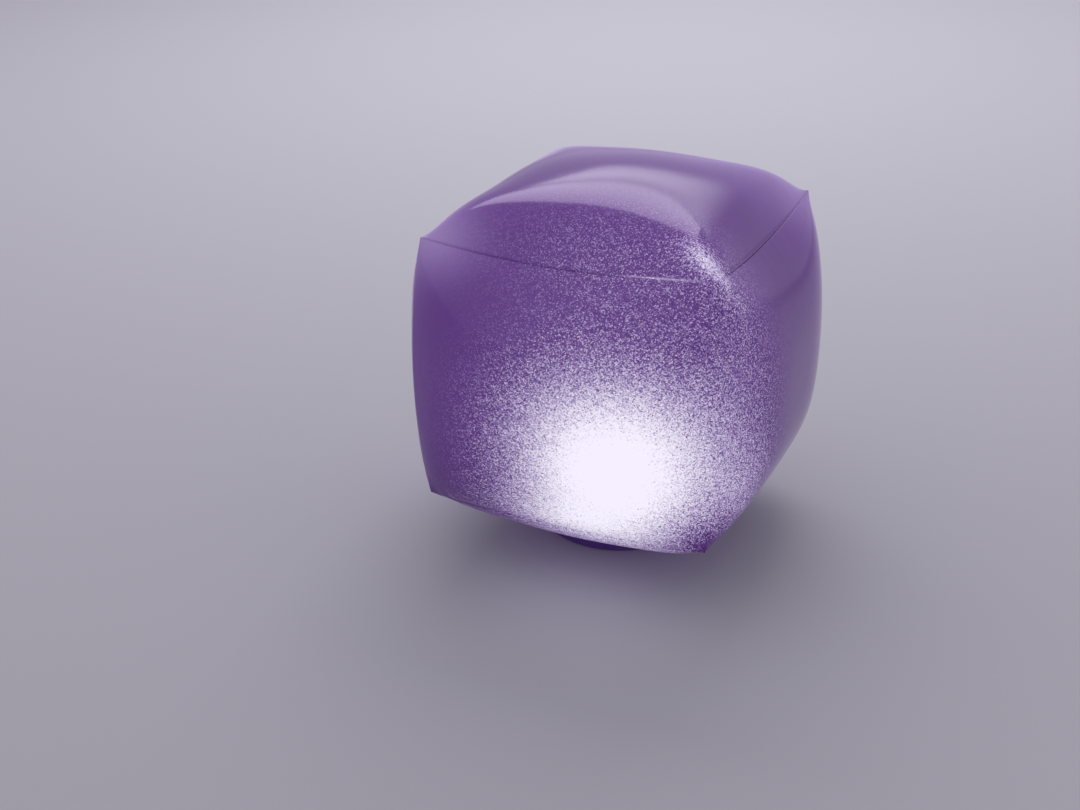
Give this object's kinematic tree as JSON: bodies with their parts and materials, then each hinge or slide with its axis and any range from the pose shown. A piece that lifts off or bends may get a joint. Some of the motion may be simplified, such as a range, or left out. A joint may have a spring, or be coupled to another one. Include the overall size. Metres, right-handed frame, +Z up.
{
  "type": "inflatable cube light",
  "caption": "Inflated frosted vinyl cube with swollen welded panels, lit from below by a round battery light puck pushed into a sealed socket.",
  "frame": {"origin": "on the surface the light stands on, under the middle of the cube", "axes": "+Z up, -Y out of the front panel, +X out of the right panel"},
  "size_m": [0.23, 0.23, 0.2363],
  "materials": {
    "purple_vinyl": "frosted translucent PVC film, glossy outside",
    "soft_moulded_vinyl": "soft moulded PVC, satin",
    "clear_vinyl": "clear PVC film",
    "violet_abs": "fine moulded texture",
    "frosted_lens": "frosted polycarbonate",
    "silicone": "soft matt",
    "tray_abs": "moulded",
    "cell_jacket": "plain printed jacket",
    "plated_steel": "nickel plated",
    "circuit_board": "white solder mask",
    "emitter_resin": "clear epoxy over phosphor",
    "black_epoxy": "moulded",
    "button_rubber": "soft matt"
  },
  "bodies": {
    "envelope": {"top_panel": "purple_vinyl", "bottom_panel": "purple_vinyl", "front_panel": "purple_vinyl", "right_panel": "purple_vinyl", "back_panel": "purple_vinyl", "left_panel": "purple_vinyl", "weld_flanges": "purple_vinyl", "socket_collar": "soft_moulded_vinyl", "light_pocket": "clear_vinyl", "valve_flange": "soft_moulded_vinyl", "valve_web": "soft_moulded_vinyl"},
    "light_puck": {"base_housing": "violet_abs", "lens_dome": "frosted_lens", "lens_gasket": "silicone", "battery_tray": "tray_abs", "battery_cells": "cell_jacket", "link_contacts": "plated_steel", "end_contacts": "plated_steel", "lamp_board": "circuit_board", "board_screws": "plated_steel", "led_emitters": "emitter_resin", "board_components": "black_epoxy", "tact_switch": "black_epoxy"},
    "battery_door": {"battery_cover": "violet_abs", "cover_gasket": "silicone", "cover_screws": "plated_steel"},
    "switch_button": {"power_button": "button_rubber", "button_seal": "silicone"},
    "valve_tube": {"valve_stem": "soft_moulded_vinyl", "valve_flap": "soft_moulded_vinyl"},
    "valve_stopper": {"valve_plug": "soft_moulded_vinyl"}
  },
  "joints": [
    {"name": "puck_pull", "type": "slide", "parent": "envelope", "child": "light_puck", "axis": [0, 0, -1], "range_m": [0, 0.044]},
    {"name": "cover_lift", "type": "slide", "parent": "light_puck", "child": "battery_door", "axis": [0, 0, -1], "range_m": [0, 0.012]},
    {"name": "button_press", "type": "slide", "parent": "light_puck", "child": "switch_button", "axis": [0, 0, 1], "range_m": [0, 0.001], "stiffness_N_per_m": 600, "springref_m": -0.0015},
    {"name": "valve_pull", "type": "slide", "parent": "envelope", "child": "valve_tube", "axis": [-0.247, 0.247, -0.937], "range_m": [0, 0.011], "deforming": ["valve_web"]},
    {"name": "plug_open", "type": "hinge", "parent": "valve_tube", "child": "valve_stopper", "pos_m": [-0.05819, 0.05819, 0.01815], "axis": [0.7071, 0.7071, 0], "range_deg": [0, 150]}
  ]
}
